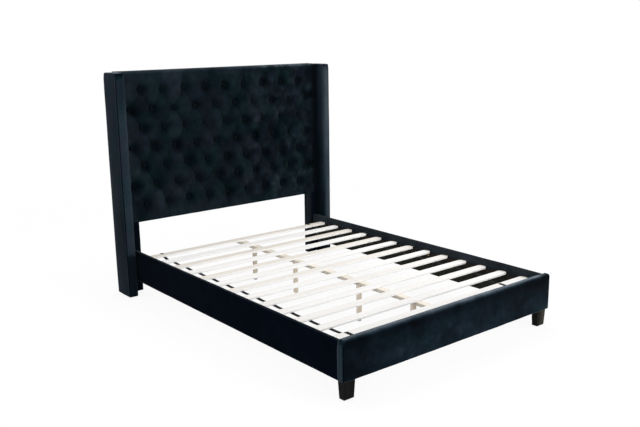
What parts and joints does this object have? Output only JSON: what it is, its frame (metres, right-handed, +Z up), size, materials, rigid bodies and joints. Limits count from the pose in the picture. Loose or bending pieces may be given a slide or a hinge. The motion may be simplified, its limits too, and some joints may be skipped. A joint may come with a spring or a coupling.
{
  "type": "wingback platform bed",
  "caption": "Upholstered wingback bed frame with a diamond-tufted headboard, padded rails and footboard, and wooden slats on a centre beam with levelling posts.",
  "frame": {"origin": "on the floor below the middle of the bed's overall box", "axes": "+Y from the foot to the headboard, +Z up, +X to the right seen from the foot"},
  "size_m": [1.726, 2.26, 1.472],
  "materials": {
    "tufted_velvet": "near-black navy velvet, deep tufted",
    "button_velvet": "velvet-covered button",
    "wing_velvet": "near-black navy velvet",
    "base_velvet": "near-black navy velvet",
    "footboard_velvet": "near-black navy velvet with brushed nap",
    "back_cloth": "black lining cloth",
    "timber": "sawn pine",
    "plywood": "plywood",
    "slat_wood": "pale sanded birch",
    "beam_wood": "sanded pine",
    "espresso_wood": "dark stained, satin",
    "ledge_black": "black stained",
    "webbing": "black webbing",
    "bracket_steel": "black powder coat",
    "bolt_steel": "zinc plated",
    "screw_steel": "yellow zinc plated",
    "glide_plastic": "moulded",
    "foot_nylon": "moulded, light grey"
  },
  "bodies": {
    "bed_frame": {"headboard_stile_left": "timber", "headboard_stile_right": "timber", "headboard_rail_top": "timber", "headboard_rail_middle": "timber", "headboard_rail_bottom": "timber", "headboard_board": "plywood", "headboard_pad": "tufted_velvet", "tuft_buttons": "button_velvet", "headboard_back_cover": "back_cloth", "wing_core_left": "timber", "wing_core_right": "timber", "wing_cover_left": "wing_velvet", "wing_cover_right": "wing_velvet", "leg_core_left": "timber", "leg_core_right": "timber", "leg_cover_left": "base_velvet", "leg_cover_right": "base_velvet", "rail_board_left": "timber", "rail_board_right": "timber", "rail_cover_left": "base_velvet", "rail_cover_right": "base_velvet", "slat_ledge_left": "ledge_black", "slat_ledge_right": "ledge_black", "footboard_board": "timber", "footboard_cover": "footboard_velvet", "foot_left": "espresso_wood", "foot_right": "espresso_wood", "slat_01": "slat_wood", "slat_02": "slat_wood", "slat_03": "slat_wood", "slat_04": "slat_wood", "slat_05": "slat_wood", "slat_06": "slat_wood", "slat_07": "slat_wood", "slat_08": "slat_wood", "slat_09": "slat_wood", "slat_10": "slat_wood", "slat_11": "slat_wood", "slat_12": "slat_wood", "slat_13": "slat_wood", "strap_left": "webbing", "strap_right": "webbing", "centre_beam": "beam_wood", "beam_bracket": "bracket_steel", "post_1": "beam_wood", "post_2": "beam_wood", "post_3": "beam_wood", "post_4": "beam_wood", "corner_bracket_foot_left": "bracket_steel", "corner_bracket_foot_right": "bracket_steel", "corner_bracket_head_left": "bracket_steel", "corner_bracket_head_right": "bracket_steel", "frame_bolts": "bolt_steel", "foot_bolts": "bolt_steel", "wood_screws": "screw_steel", "floor_glides": "glide_plastic"},
    "levelling_foot_1": {"levelling_foot_1": "foot_nylon"},
    "levelling_foot_2": {"levelling_foot_2": "foot_nylon"},
    "levelling_foot_3": {"levelling_foot_3": "foot_nylon"},
    "levelling_foot_4": {"levelling_foot_4": "foot_nylon"}
  },
  "joints": [
    {"name": "level_1", "type": "slide", "parent": "bed_frame", "child": "levelling_foot_1", "axis": [0, 0, 1], "range_m": [-0.01, 0.01]},
    {"name": "level_2", "type": "slide", "parent": "bed_frame", "child": "levelling_foot_2", "axis": [0, 0, 1], "range_m": [-0.01, 0.01]},
    {"name": "level_3", "type": "slide", "parent": "bed_frame", "child": "levelling_foot_3", "axis": [0, 0, 1], "range_m": [-0.01, 0.01]},
    {"name": "level_4", "type": "slide", "parent": "bed_frame", "child": "levelling_foot_4", "axis": [0, 0, 1], "range_m": [-0.01, 0.01]}
  ]
}
